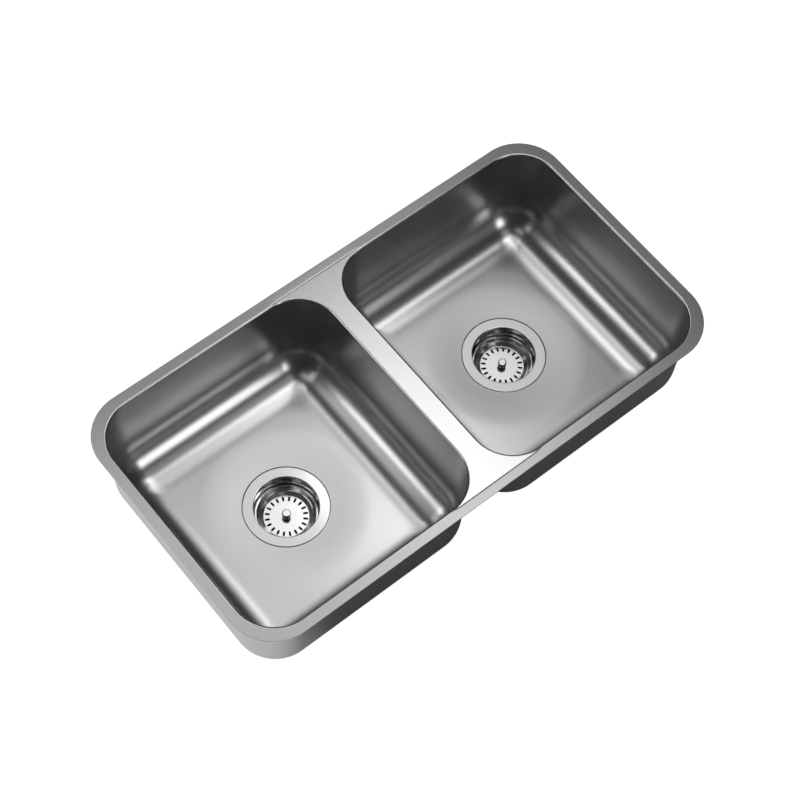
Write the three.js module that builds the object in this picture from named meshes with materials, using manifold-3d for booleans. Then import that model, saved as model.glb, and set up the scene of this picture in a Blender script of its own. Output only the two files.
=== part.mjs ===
// Double bowl kitchen sink for mounting under a worktop, in drawn stainless steel, with a basket
// strainer waste in each bowl. Millimetres, +Z up. The origin is the centre of the rim's top plane,
// so everything but the rim's top face lies below z = 0. X runs along the sink, Y from front to back.
import * as THREE from 'three';
import { mergeVertices } from 'three/addons/utils/BufferGeometryUtils.js';
import Module from 'manifold-3d';

// ---- rim and divider ----
const rimLength = 730;
const rimWidth = 386;
const rimCorner = 62; // outer corner radius in plan
const rimFlat = 13; // flat width of the rim, outer edge to the start of the bend
const rimSheet = 1.5;
const dividerFlat = 25.4; // flat width between the two bowls' lips at mid-length
const dividerDrop = rimSheet; // the divider lies under the rim, face to face where they lap
const dividerLap = 3; // how far each end of the divider runs on below the rim
const dividerSheet = 1.2;

// ---- bowls ----
const bowlSheet = 1.2;
const lipCorner = 58; // corner radius in plan where the bowl meets the rim
const lipBend = 2.5; // radius of the rounded edge, on the visible side
const wallDraft = 0.9; // degrees from upright
const floorEdgeDepth = 148; // floor level where the bottom radius runs out
const floorFall = 3; // further fall from there to the drain
const bottomRadius = 50; // between wall and floor, on the visible side
const sharpestCorner = 3; // least plan radius, reached where the bottom radius ends
const drainBack = 3.5; // drain centre behind the bowl's centre
const recessPlay = 0.4; // round the strainer's flange, which lies in a recess of the floor
const recessSlope = 0.6; // width of the recess's sloping edge

// ---- strainer body, radii from its axis and heights below its flange's top ----
const throatRadius = 42;
const throatRounding = 1.2;
const throatWall = 1.5; // to the outside of the thread that the locknut runs on
const flangeWidth = 14;
const flangeSheet = 1.2;
const flangeEdge = 0.6; // rounding of the flange's outer edge
const shoulderTop = 21.5; // depth at which the throat starts to narrow
const shoulderDrop = 2.8;
const shoulderWidth = 2.7;
const cupDepth = 46; // to the flat seat round the outlet
const cupCorner = 3.5;
const cupWall = 1.2;
const tailInner = 21;
const tailWall = 2.9;
const tailLength = 25; // below the seat
const guideWall = 2.8; // hub in the outlet that steadies the spindle's tip
const guideHeight = 5;
const guideArms = 4;
const guideArmWidth = 2.4;

// ---- seals and nut that clamp the strainer to the bowl ----
const sealThickness = 1;
const sealInset = 1; // seal's edge inside the flange's edge
const gasketThickness = 3;
const gasketInset = 1; // gasket's edge inside the flange's edge
const frictionThickness = 1;
const nutThickness = 9;
const nutInset = 1; // nut's rim inside the gasket's edge
const nutLug = 3.5; // how far each lug stands out of the nut
const nutLugs = 8;
const nutLugShare = 0.4; // part of the pitch that a lug takes

// ---- basket ----
const basketSheet = 0.8;
const basketRimRise = 1; // rim's top above the shoulder it rests on
const basketRimWidth = 2.2;
const basketHeight = 9.3; // rim's top to the flat bottom
const basketStepDrop = 4.8; // rim's top to the shallow step half way down the wall
const basketUpperLean = 3.5; // how far the wall leans in above the step
const basketLowerLean = 5.8; // and below it
const slotCount = 20;
const slotLength = 6.8;
const slotWidth = 2.8;
const slotMargin = 0.8; // slot's outer end to the edge of the flat bottom

// ---- spindle, knob and stopper ----
const spindleShoulder = 5;
const spindleThread = 2.4; // upper end, screwed into the knob
const spindleThreadLength = 6;
const spindleLower = 3; // passes through stopper, washer and nut
const spindleReach = 3.5; // how far the tip goes into the guide hub
const spindlePoint = 1.2; // chamfer on the tip
const knobRadius = 5.7; // of its cap
const knobCap = 5.5; // height of the cap
const knobRounding = 1.5; // of the cap's top edge
const knobUnderEdge = 0.6; // bevel of the cap's lower edge
const knobCollar = 4.6;
const knobCollarHeight = 1.6;
const knobCollarEdge = 0.4;
const knobNeck = 3.8;
const knobHeight = 10.6; // above the flat bottom of the basket
const stopperLap = 6; // over the seat round the outlet
const stopperThickness = 3.6;
const stopperLip = 1.2; // thickness of the stopper at its edge
const washerThickness = 1;
const nutFlats = 10;
const postNutHeight = 3;

// ---- sound pads ----
const padThickness = 2.5;
const padFrom = 0.12; // start and end of the pad along the fall of the floor, 0 edge, 1 drain
const padTo = 0.62;

// ---- clearances ----
const seatGap = 0.3; // between faces that rest on each other and are not flat to flat
const threadGap = 0.4; // radial, between a thread and what is screwed or slipped over it
const basketPlay = 1.3; // basket's rim inside the throat
const washerPlay = 4; // washer inside the outlet
const guidePlay = 1.2; // spindle inside its guide
const guideGap = 1.8; // spindle's nut above its guide

// ---- facets ----
const cornerSteps = 6; // per quarter turn of a bowl's corner
const sidePoints = 3; // extra points on each straight side of a bowl's outline
const rimSteps = 10; // per quarter turn of the rim's outer corner
const bendSteps = 2;
const bottomSteps = 6;
const floorSteps = 2;
const roundSteps = 28; // round pieces of the strainer
const smallSteps = 16; // spindle, knob and hub
const knobSteps = 2; // round the top edge of the knob
const endSteps = 2; // round a slot's end, and across a lug
const hexSides = 6;

// ---- sizes that follow from the ones above ----
const bowlLength = (rimLength - dividerFlat) / 2 - rimFlat;
const bowlWidth = rimWidth - 2 * rimFlat;
const bowlCentre = (dividerFlat + bowlLength) / 2;
const drainDepth = floorEdgeDepth + floorFall; // top of the strainer's flange, level with the floor
const threadRadius = throatRadius + throatWall;
const flangeRadius = throatRadius + flangeWidth;
const gasketRadius = flangeRadius - gasketInset;
const nutRadius = gasketRadius - nutInset;
const clampBore = threadRadius + threadGap; // of the hole in the floor and all that clamps round it
const recessRadius = flangeRadius + recessPlay;
const recessDepth = flangeSheet + sealThickness;
const clampTop = recessDepth + bowlSheet; // underside of the bowl below the flange's top
const cupRadius = throatRadius - shoulderWidth;
const shoulderBottom = shoulderTop + shoulderDrop;
const shoulderSlope = shoulderDrop / shoulderWidth;
const restGap = seatGap * Math.hypot(1, shoulderSlope); // upright gap over the sloping shoulder
const basketRim = throatRadius - basketPlay;
const basketRimDepth = shoulderTop - basketRimRise;
const basketRimUnder = shoulderTop + basketPlay * shoulderSlope - restGap;
const basketWallTop = basketRim - basketRimWidth;
const basketStep = basketWallTop - basketUpperLean;
const basketStepDepth = basketRimDepth + basketStepDrop;
const basketFlat = basketStep - basketLowerLean;
const basketDepth = basketRimDepth + basketHeight;
const slotOuter = basketFlat - slotMargin;
const knobTop = basketDepth - knobHeight;
const stopperRadius = tailInner + stopperLap;
const stopperBottom = cupDepth - seatGap;
const stopperTop = stopperBottom - stopperThickness;
const washerRadius = tailInner - washerPlay;
const postNutTop = stopperBottom + washerThickness;
const guideDepth = postNutTop + postNutHeight + guideGap; // hub's top
const guideBore = spindleLower + guidePlay;
const guideHub = guideBore + guideWall;
const spindleTip = guideDepth + spindleReach;

const steel = { color: 0xb8babc, roughness: 0.32, metalness: 1 };
const polishedSteel = { color: 0xd2d4d6, roughness: 0.14, metalness: 1 };
const rubber = { color: 0x1d1d1e, roughness: 0.85, metalness: 0 };
const fibre = { color: 0xa58a5c, roughness: 0.9, metalness: 0 };
const nylon = { color: 0x2c2d2f, roughness: 0.6, metalness: 0 };
const padBitumen = { color: 0x3a3b3c, roughness: 0.95, metalness: 0 };

const wasm = await Module();
wasm.setup();

const sink = new THREE.Group();

function addPiece(parent, name, finish, geometry) {
  const piece = new THREE.Mesh(geometry, new THREE.MeshStandardMaterial(finish));
  piece.name = name;
  parent.add(piece);
  return piece;
}

// ---- closed bodies ----

function signedVolume(position, index) {
  const a = new THREE.Vector3();
  const b = new THREE.Vector3();
  const c = new THREE.Vector3();
  let total = 0;
  for (let i = 0; i < index.length; i += 3) {
    a.fromBufferAttribute(position, index[i]);
    b.fromBufferAttribute(position, index[i + 1]);
    c.fromBufferAttribute(position, index[i + 2]);
    total += a.dot(b.cross(c));
  }
  return total / 6;
}

// Shares the vertices of a closed surface, drops the slivers a lathe leaves on its axis, and turns
// the faces outwards.
function closedBody(geometry) {
  geometry.deleteAttribute('normal');
  geometry.deleteAttribute('uv');
  const merged = mergeVertices(geometry, 1e-4);
  const source = merged.index.array;
  let index = [];
  for (let i = 0; i < source.length; i += 3) {
    const [a, b, c] = source.slice(i, i + 3);
    if (a !== b && b !== c && c !== a) {
      index.push(a, b, c);
    }
  }
  if (signedVolume(merged.attributes.position, index) < 0) {
    index = index.reverse();
  }
  merged.setIndex(index);
  merged.computeVertexNormals();
  return merged;
}

function toSolid(geometry) {
  const body = closedBody(geometry);
  const vertProperties = Float32Array.from(body.attributes.position.array);
  const triVerts = Uint32Array.from(body.index.array);
  return new wasm.Manifold(new wasm.Mesh({ numProp: 3, vertProperties, triVerts }));
}

function fromSolid(solid) {
  const mesh = solid.getMesh();
  const geometry = new THREE.BufferGeometry();
  geometry.setAttribute('position', new THREE.BufferAttribute(mesh.vertProperties, 3));
  geometry.setIndex(new THREE.BufferAttribute(mesh.triVerts, 1));
  geometry.computeVertexNormals();
  return geometry;
}

// Turns a closed profile of [radius, height] points about the Z axis.
function revolve(profile, steps) {
  const points = profile.map(([radius, height]) => new THREE.Vector2(radius, height));
  const onAxis = profile[0][0] === 0;
  if (!onAxis) {
    points.push(points[0].clone());
  }
  const geometry = new THREE.LatheGeometry(points, steps);
  geometry.rotateX(Math.PI / 2);
  return closedBody(geometry);
}

function ring(inner, outer, top, thickness, steps) {
  const bottom = top - thickness;
  return revolve([[inner, top], [inner, bottom], [outer, bottom], [outer, top]], steps);
}

// A flat plate from an outline and an optional hole, its top face at z = top.
function plate(outline, hole, top, thickness) {
  const shape = new THREE.Shape(outline);
  if (hole) {
    shape.holes.push(new THREE.Path(hole));
  }
  const geometry = new THREE.ExtrudeGeometry(shape, { depth: thickness, bevelEnabled: false });
  geometry.translate(0, 0, top - thickness);
  return closedBody(geometry);
}

// Joins closed rings of equal count in order, and the last to the first, into one closed skin.
function loft(rings) {
  const count = rings[0].length;
  const index = [];
  rings.forEach((_, row) => {
    const next = (row + 1) % rings.length;
    for (let k = 0; k < count; k += 1) {
      const after = (k + 1) % count;
      const a = row * count + k;
      const b = row * count + after;
      const c = next * count + k;
      const d = next * count + after;
      index.push(a, c, b, b, c, d);
    }
  });
  const geometry = new THREE.BufferGeometry();
  geometry.setAttribute('position', new THREE.Float32BufferAttribute(rings.flat(2), 3));
  geometry.setIndex(index);
  return closedBody(geometry);
}

// ---- outlines in plan ----

function arc(centreX, centreY, radius, from, to, steps) {
  return Array.from({ length: steps + 1 }, (_, i) => {
    const angle = from + ((to - from) * i) / steps;
    return [centreX + radius * Math.cos(angle), centreY + radius * Math.sin(angle)];
  });
}

// The four corners of a rounded rectangle, anticlockwise from +X +Y, each as its own list of points.
function roundedCorners(halfX, halfY, radius, steps) {
  const signs = [[1, 1], [-1, 1], [-1, -1], [1, -1]];
  return signs.map(([x, y], corner) => {
    const from = (corner * Math.PI) / 2;
    const centreX = x * (halfX - radius);
    const centreY = y * (halfY - radius);
    return arc(centreX, centreY, radius, from, from + Math.PI / 2, steps);
  });
}

function pointsBetween(start, end, count) {
  return Array.from({ length: count }, (_, i) => {
    const share = (i + 1) / (count + 1);
    return start.map((value, axis) => value + (end[axis] - value) * share);
  });
}

function bowlCorners(inset) {
  const radius = Math.max(lipCorner - inset, sharpestCorner);
  return roundedCorners(bowlLength / 2 - inset, bowlWidth / 2 - inset, radius, cornerSteps);
}

// The bowl's outline, a set distance in from its lip.
function bowlOutline(inset) {
  const corners = bowlCorners(inset);
  return corners.flatMap((corner, i) => {
    const next = corners[(i + 1) % corners.length];
    return [...corner, ...pointsBetween(corner[cornerSteps], next[0], sidePoints)];
  });
}

// A circle round the drain with one point for each point of the bowl's outline.
function drainOutline(radius) {
  const cornerSpan = Math.PI / 3;
  const cornerStart = (Math.PI / 2 - cornerSpan) / 2;
  const sideSpan = Math.PI / 2 - cornerSpan;
  const angles = [0, 1, 2, 3].flatMap((corner) => {
    const start = (corner * Math.PI) / 2 + cornerStart;
    const onCorner = Array.from({ length: cornerSteps + 1 }, (_, i) => {
      return start + (cornerSpan * i) / cornerSteps;
    });
    const onSide = pointsBetween([start + cornerSpan], [start + cornerSpan + sideSpan], sidePoints);
    return [...onCorner, ...onSide.flat()];
  });
  return angles.map((angle) => [radius * Math.cos(angle), drainBack + radius * Math.sin(angle)]);
}

function blend(from, to, share) {
  return from.map((point, i) => point.map((value, axis) => value + (to[i][axis] - value) * share));
}

const atHeight = (outline, height) => outline.map(([x, y]) => [x, y, height]);

// ---- bowls ----

// Section of one skin of the bowl from its lip to the end of the bottom radius, as insets from the
// lip and heights. The visible skin has offset 0 and the hidden one lies a sheet's thickness outside.
function wallSection(offset) {
  const lean = THREE.MathUtils.degToRad(wallDraft);
  const bend = lipBend - offset;
  const bottom = bottomRadius + offset;
  const bottomCentreHeight = bottomRadius - floorEdgeDepth;
  const upright = bottomCentreHeight - bottomRadius * Math.sin(lean);
  const wallDrop = lipBend * (Math.sin(lean) - 1) - upright;
  const bottomCentreInset = (lipBend + bottomRadius) * Math.cos(lean) + wallDrop * Math.tan(lean);
  const turn = Math.PI / 2 - lean;
  const lip = arc(0, -lipBend, bend, Math.PI / 2, lean, bendSteps);
  const cove = Array.from({ length: bottomSteps + 1 }, (_, i) => {
    const angle = lean + (turn * i) / bottomSteps;
    const inset = bottomCentreInset - bottom * Math.cos(angle);
    return [inset, bottomCentreHeight - bottom * Math.sin(angle)];
  });
  return { lip, cove };
}

// True for the points of a bowl's outline that lie along the divider, on the bowl's -X side.
function besideDivider(index) {
  const block = cornerSteps + 1 + sidePoints;
  return index > block && index < 2 * block + cornerSteps;
}

function lowerBesideDivider(outline) {
  return outline.map(([x, y, z], i) => [x, y, besideDivider(i) ? z - dividerDrop : z]);
}

// The floor falls evenly from the bottom radius to the round recess of the drain.
function floorRings(offset) {
  const { cove } = wallSection(offset);
  const [edgeInset, edgeHeight] = cove[bottomSteps];
  const edge = atHeight(bowlOutline(edgeInset), edgeHeight);
  const rim = atHeight(drainOutline(recessRadius + recessSlope), edgeHeight - floorFall);
  return Array.from({ length: floorSteps + 2 }, (_, i) => blend(edge, rim, i / (floorSteps + 1)));
}

function bowlSkin(offset) {
  const { lip, cove } = wallSection(offset);
  const seatHeight = -drainDepth - recessDepth - offset;
  return [
    ...lip.map(([inset, height]) => lowerBesideDivider(atHeight(bowlOutline(inset), height))),
    ...cove.slice(0, bottomSteps).map(([inset, height]) => atHeight(bowlOutline(inset), height)),
    ...floorRings(offset),
    atHeight(drainOutline(recessRadius), seatHeight),
    atHeight(drainOutline(clampBore), seatHeight),
  ];
}

const mirrored = (rings) => rings.map((outline) => outline.map(([x, y, z]) => [-x, y, z]));

function addBowl(name, side) {
  const rings = [...bowlSkin(0), ...bowlSkin(bowlSheet).reverse()];
  const geometry = loft(side > 0 ? rings : mirrored(rings));
  addPiece(sink, name, steel, geometry).position.x = side * bowlCentre;
}

addBowl('left_bowl', -1);
addBowl('right_bowl', 1);

// ---- rim and divider ----

function shifted(points, distance) {
  return points.map(([x, y]) => new THREE.Vector2(x + distance, y));
}

function addRim() {
  const outer = roundedCorners(rimLength / 2, rimWidth / 2, rimCorner, rimSteps).flat();
  const [rightBack, leftBack, leftFront, rightFront] = bowlCorners(0);
  const opening = [
    ...shifted(rightBack, bowlCentre),
    ...shifted(leftBack, -bowlCentre),
    ...shifted(leftFront, -bowlCentre),
    ...shifted(rightFront, bowlCentre),
  ];
  addPiece(sink, 'rim_flange', steel, plate(shifted(outer, 0), opening, 0, rimSheet));
}

function addDivider() {
  const [rightBack, leftBack, leftFront, rightFront] = bowlCorners(0);
  const end = bowlWidth / 2 + dividerLap;
  const halfEnd = bowlCentre - bowlLength / 2 + lipCorner;
  const outline = [
    ...shifted(leftBack, bowlCentre),
    ...shifted(leftFront, bowlCentre),
    new THREE.Vector2(halfEnd, -end),
    new THREE.Vector2(-halfEnd, -end),
    ...shifted(rightFront, -bowlCentre),
    ...shifted(rightBack, -bowlCentre),
    new THREE.Vector2(-halfEnd, end),
    new THREE.Vector2(halfEnd, end),
  ];
  addPiece(sink, 'divider_plate', steel, plate(outline, null, -dividerDrop, dividerSheet));
}

addRim();
addDivider();

// ---- sound pads under the bowls' floors ----

// A pad covers the flat stretch of floor before or behind the drain and follows its fall.
function padGeometry(corner) {
  const skin = floorRings(bowlSheet);
  const block = cornerSteps + 1 + sidePoints;
  const start = corner * block + cornerSteps;
  const side = (outline) => {
    return Array.from({ length: sidePoints + 2 }, (_, i) => outline[(start + i) % outline.length]);
  };
  const edge = side(skin[0]);
  const drain = side(skin[floorSteps + 1]);
  const near = blend(edge, drain, padFrom);
  const far = blend(edge, drain, padTo);
  const lowered = (points, drop) => points.map(([x, y, z]) => [x, y, z - drop]);
  const top = [...near, ...far.reverse()];
  const upper = lowered(top, seatGap);
  const lower = lowered(top, seatGap + padThickness);
  const count = top.length;
  const index = [];
  for (let k = 0; k < count; k += 1) {
    const after = (k + 1) % count;
    index.push(k, after, count + k, after, count + after, count + k);
  }
  for (let k = 0; k < count / 2 - 1; k += 1) {
    const across = count - 1 - k;
    index.push(k, across, k + 1, k + 1, across, across - 1);
    index.push(count + k, count + k + 1, count + across, count + k + 1, count + across - 1, count + across);
  }
  const geometry = new THREE.BufferGeometry();
  geometry.setAttribute('position', new THREE.Float32BufferAttribute([...upper, ...lower].flat(), 3));
  geometry.setIndex(index);
  return closedBody(geometry);
}

for (const [side, name] of [[-1, 'left'], [1, 'right']]) {
  for (const [corner, place] of [[0, 'rear'], [2, 'front']]) {
    const pad = addPiece(sink, `${name}_${place}_sound_pad`, padBitumen, padGeometry(corner));
    pad.position.x = side * bowlCentre;
  }
}

// ---- strainer waste, in its own frame: axis Z, heights from the top of its flange ----

function strainerBody() {
  const seat = -cupDepth;
  const tailEnd = seat - tailLength;
  const cupOuter = cupRadius + cupWall;
  const profile = [
    [flangeRadius, -flangeSheet],
    [flangeRadius, -flangeEdge],
    [flangeRadius - flangeEdge, 0],
    [throatRadius + throatRounding, 0],
    [throatRadius + throatRounding * (1 - Math.SQRT1_2), -throatRounding * (1 - Math.SQRT1_2)],
    [throatRadius, -throatRounding],
    [throatRadius, -shoulderTop],
    [cupRadius, -shoulderBottom],
    [cupRadius, seat + cupCorner],
    [cupRadius - cupCorner * (1 - Math.SQRT1_2), seat + cupCorner * (1 - Math.SQRT1_2)],
    [cupRadius - cupCorner, seat],
    [tailInner + cupWall, seat],
    [tailInner, seat - cupWall],
    [tailInner, tailEnd],
    [tailInner + tailWall, tailEnd],
    [tailInner + tailWall, seat - cupWall],
    [cupOuter - cupCorner, seat - cupWall],
    [cupOuter, seat + cupCorner - cupWall],
    [cupOuter, -shoulderBottom],
    [threadRadius, -shoulderTop],
    [threadRadius, -flangeSheet],
  ];
  let solid = toSolid(revolve(profile, roundSteps));
  const hubTop = -guideDepth;
  solid = solid.add(toSolid(ring(guideBore, guideHub, hubTop, guideHeight, smallSteps)));
  const reach = tailInner + tailWall / 2;
  const hubWall = (guideBore + guideHub) / 2;
  for (let arm = 0; arm < guideArms; arm += 1) {
    const bar = new THREE.BoxGeometry(reach - hubWall, guideArmWidth, guideHeight);
    bar.translate((reach + hubWall) / 2, 0, hubTop - guideHeight / 2);
    bar.rotateZ((2 * Math.PI * arm) / guideArms);
    solid = solid.add(toSolid(bar));
  }
  return fromSolid(solid);
}

// A nut with raised lugs round its rim, for a spanner.
function luggedNut() {
  const pitch = (2 * Math.PI) / nutLugs;
  const lug = pitch * nutLugShare;
  const outline = [];
  for (let i = 0; i < nutLugs; i += 1) {
    outline.push(...arc(0, 0, nutRadius + nutLug, i * pitch, i * pitch + lug, endSteps));
    outline.push(...arc(0, 0, nutRadius, i * pitch + lug, (i + 1) * pitch, endSteps));
  }
  const bore = arc(0, 0, clampBore, 0, 2 * Math.PI, roundSteps).slice(1);
  const top = -clampTop - gasketThickness - frictionThickness;
  return plate(shifted(outline, 0), shifted(bore, 0), top, nutThickness);
}

function slotOutline() {
  const half = slotWidth / 2;
  return [
    ...arc(slotOuter - half, 0, half, -Math.PI / 2, Math.PI / 2, endSteps),
    ...arc(slotOuter - slotLength + half, 0, half, Math.PI / 2, (3 * Math.PI) / 2, endSteps),
  ];
}

// The dish that catches scraps: a rolled rim, a stepped sloping wall and a flat slotted bottom.
function basketDish() {
  const bore = spindleThread + threadGap;
  const bend = basketSheet * 1.5; // from the inside of a fold in the wall to its outside
  const inside = [
    [basketRim, -basketRimUnder],
    [basketRim, -basketRimDepth],
    [basketWallTop, -basketRimDepth],
    [basketStep + basketSheet, -basketStepDepth],
    [basketStep - basketSheet, -basketStepDepth - basketSheet / 2],
    [basketFlat + basketSheet, -basketDepth + basketSheet],
    [basketFlat - basketSheet, -basketDepth],
    [bore, -basketDepth],
  ];
  const outside = [
    [bore, -basketDepth - basketSheet],
    [basketFlat - basketSheet, -basketDepth - basketSheet],
    [basketFlat + bend, -basketDepth],
    [basketStep, -basketStepDepth - bend],
    [basketStep + bend, -basketStepDepth - basketSheet],
    [basketWallTop + basketSheet, -basketRimUnder],
  ];
  let solid = toSolid(revolve([...inside, ...outside], roundSteps));
  for (let i = 0; i < slotCount; i += 1) {
    const cutter = plate(shifted(slotOutline(), 0), null, basketSheet - basketDepth, 3 * basketSheet);
    cutter.rotateZ((2 * Math.PI * (i + 0.5)) / slotCount);
    solid = solid.subtract(toSolid(cutter));
  }
  return fromSolid(solid);
}

// A capped knob on a short collar that stands on the dish, bored from below for the spindle's thread.
function knob() {
  const boreRadius = spindleThread + threadGap;
  const boreTop = -basketDepth + spindleThreadLength;
  const collarTop = -basketDepth + knobCollarHeight;
  const capBottom = -knobTop - knobCap;
  const edgeCentre = [knobRadius - knobRounding, -knobTop - knobRounding];
  const profile = [
    [0, boreTop],
    [boreRadius, boreTop],
    [boreRadius, -basketDepth],
    [knobCollar, -basketDepth],
    [knobCollar, collarTop],
    [knobNeck, collarTop + knobCollarEdge],
    [knobNeck, capBottom],
    [knobRadius - knobUnderEdge, capBottom],
    [knobRadius, capBottom + knobUnderEdge],
    ...arc(...edgeCentre, knobRounding, 0, Math.PI / 2, knobSteps),
    [0, -knobTop],
  ];
  return revolve(profile, smallSteps);
}

function spindle() {
  const shoulderTopHeight = -basketDepth - basketSheet;
  const profile = [
    [0, shoulderTopHeight + basketSheet + spindleThreadLength - threadGap],
    [spindleThread, shoulderTopHeight + basketSheet + spindleThreadLength - threadGap],
    [spindleThread, shoulderTopHeight],
    [spindleShoulder, shoulderTopHeight],
    [spindleShoulder, -stopperTop],
    [spindleLower, -stopperTop],
    [spindleLower, -spindleTip + spindlePoint],
    [spindleLower - spindlePoint, -spindleTip],
    [0, -spindleTip],
  ];
  return revolve(profile, smallSteps);
}

// A rubber disc, thick at its middle and thin at its lip, that closes the outlet.
function stopper() {
  const bore = spindleLower + threadGap;
  const profile = [
    [bore, -stopperTop],
    [washerRadius, -stopperTop],
    [stopperRadius, stopperLip - stopperBottom],
    [stopperRadius, -stopperBottom],
    [bore, -stopperBottom],
  ];
  return revolve(profile, roundSteps);
}

function hexNut(top) {
  const corner = nutFlats / 2 / Math.cos(Math.PI / hexSides);
  const outline = arc(0, 0, corner, 0, 2 * Math.PI, hexSides).slice(1);
  const bore = arc(0, 0, spindleLower + threadGap, 0, 2 * Math.PI, smallSteps).slice(1);
  return plate(shifted(outline, 0), shifted(bore, 0), top, postNutHeight);
}

function addStrainer(name, side) {
  const strainer = new THREE.Group();
  strainer.position.set(side * bowlCentre, drainBack, -drainDepth);
  sink.add(strainer);
  const add = (piece, finish, geometry) => addPiece(strainer, `${name}_${piece}`, finish, geometry);
  const washed = (outer, top, thickness) => ring(clampBore, outer, top, thickness, roundSteps);
  add('strainer_body', polishedSteel, strainerBody());
  add('top_seal', rubber, washed(flangeRadius - sealInset, -flangeSheet, sealThickness));
  add('gasket', rubber, washed(gasketRadius, -clampTop, gasketThickness));
  add('friction_ring', fibre, washed(gasketRadius, -clampTop - gasketThickness, frictionThickness));
  add('locknut', nylon, luggedNut());
  add('basket', polishedSteel, basketDish());
  add('knob', polishedSteel, knob());
  add('spindle', polishedSteel, spindle());
  add('stopper', rubber, stopper());
  const lowerBore = spindleLower + threadGap;
  const washer = ring(lowerBore, washerRadius, -stopperBottom, washerThickness, smallSteps);
  add('stopper_washer', steel, washer);
  add('spindle_nut', steel, hexNut(-postNutTop));
}

addStrainer('left', -1);
addStrainer('right', 1);

export default sink;
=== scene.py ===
"""A double bowl kitchen sink in satin stainless steel, seen from above its front left corner.

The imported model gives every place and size. Each steel piece is made again as a fine surface that
stands for its plain node, and all pieces get procedural finishes.
"""

import math

import bmesh
import bpy
import numpy as np
from mathutils import Matrix, Vector


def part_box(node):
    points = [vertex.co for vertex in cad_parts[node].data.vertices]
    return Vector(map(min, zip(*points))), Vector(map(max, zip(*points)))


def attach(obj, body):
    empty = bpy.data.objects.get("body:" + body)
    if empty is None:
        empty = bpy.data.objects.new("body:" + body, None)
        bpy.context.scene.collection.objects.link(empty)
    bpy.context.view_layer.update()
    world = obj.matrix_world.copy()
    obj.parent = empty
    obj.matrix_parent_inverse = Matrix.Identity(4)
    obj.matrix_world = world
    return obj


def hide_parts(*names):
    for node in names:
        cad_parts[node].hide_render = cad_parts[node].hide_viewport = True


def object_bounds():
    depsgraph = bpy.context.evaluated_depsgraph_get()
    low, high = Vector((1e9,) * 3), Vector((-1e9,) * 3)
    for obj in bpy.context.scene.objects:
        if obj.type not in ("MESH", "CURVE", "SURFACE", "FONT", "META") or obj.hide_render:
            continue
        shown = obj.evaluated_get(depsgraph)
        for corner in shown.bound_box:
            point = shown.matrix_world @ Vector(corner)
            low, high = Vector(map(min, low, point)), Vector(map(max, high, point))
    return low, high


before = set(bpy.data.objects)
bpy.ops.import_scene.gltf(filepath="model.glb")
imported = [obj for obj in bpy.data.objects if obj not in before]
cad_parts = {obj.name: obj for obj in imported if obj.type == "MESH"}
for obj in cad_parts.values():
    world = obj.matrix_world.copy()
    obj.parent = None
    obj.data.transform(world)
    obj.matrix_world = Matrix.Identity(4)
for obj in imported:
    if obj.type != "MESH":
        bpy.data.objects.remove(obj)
cad_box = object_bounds()

MM = 0.001

# ---- sizes, in metres ----
RIM_CORNER = 62 * MM  # outer corner radius of the rim
RIM_FLAT = 13 * MM  # rim's outer edge to the start of the bend
RIM_EDGE = 0.45 * MM  # rounding of the rim's cut edge
LIP_CORNER = 58 * MM  # corner radius where a bowl meets the rim
LIP_BEND = 2.5 * MM
DIVIDER_DROP = 1.5 * MM
WALL_LEAN = math.radians(0.9)
FLOOR_EDGE = 149.3 * MM  # depth at which the cove runs out
COVE_HEIGHT = 49.2 * MM  # of the curve between wall and floor
COVE_POWER = 1.25
LEAST_CORNER = 14 * MM  # of the floor's outline
CORNER_EASE = 6 * MM
BOWL_SHEET = 1.2 * MM
RECESS_SLOPE = 0.6 * MM
RECESS_STEP = 2.2 * MM  # flange and seal together
RECESS_RADIUS = 56.4 * MM
HOLE_RADIUS = 43.9 * MM
SLOT_COUNT = 20

rim_low, rim_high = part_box("rim_flange")
divider_low, divider_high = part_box("divider_plate")
left_low, left_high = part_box("left_bowl")
bowl_half_length = (left_high.x - left_low.x) / 2
bowl_half_width = (left_high.y - left_low.y) / 2
SIDES = {"left": -1, "right": 1}


def middle(node):
    """Centre in plan and top of a node's box."""
    low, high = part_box(node)
    return np.array([(low.x + high.x) / 2, (low.y + high.y) / 2, high.z])


# ---- meshes from grids ----

def quads(rows, columns, close_rows=False, close_columns=False):
    """Faces of a grid numbered row by row: each joins a point to its neighbours along and across."""
    last_row = rows if close_rows else rows - 1
    last_column = columns if close_columns else columns - 1
    row, column = np.meshgrid(np.arange(last_row), np.arange(last_column), indexing="ij")
    next_row = (row + 1) % rows
    next_column = (column + 1) % columns
    corners = [row * columns + column, row * columns + next_column,
               next_row * columns + next_column, next_row * columns + column]
    return np.stack([corner.ravel() for corner in corners], axis=1)


def strip_cap(count):
    """Faces that close a loop of points whose first half lies opposite its second."""
    first = np.arange(count // 2 - 1)
    return np.stack([first, first + 1, count - 2 - first, count - 1 - first], axis=1)


def signed_volume(points, faces):
    """Sum of the signed pyramids from the origin to each quad, which is positive if they face out."""
    a, b, c, d = (points[faces[:, i]] for i in range(4))
    return float(np.sum(np.cross(b - a, c - a) * a + np.cross(c - a, d - a) * a)) / 6


SHARP = math.radians(35)
WELD = 2e-6  # points that lie nearer than this are one


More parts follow.
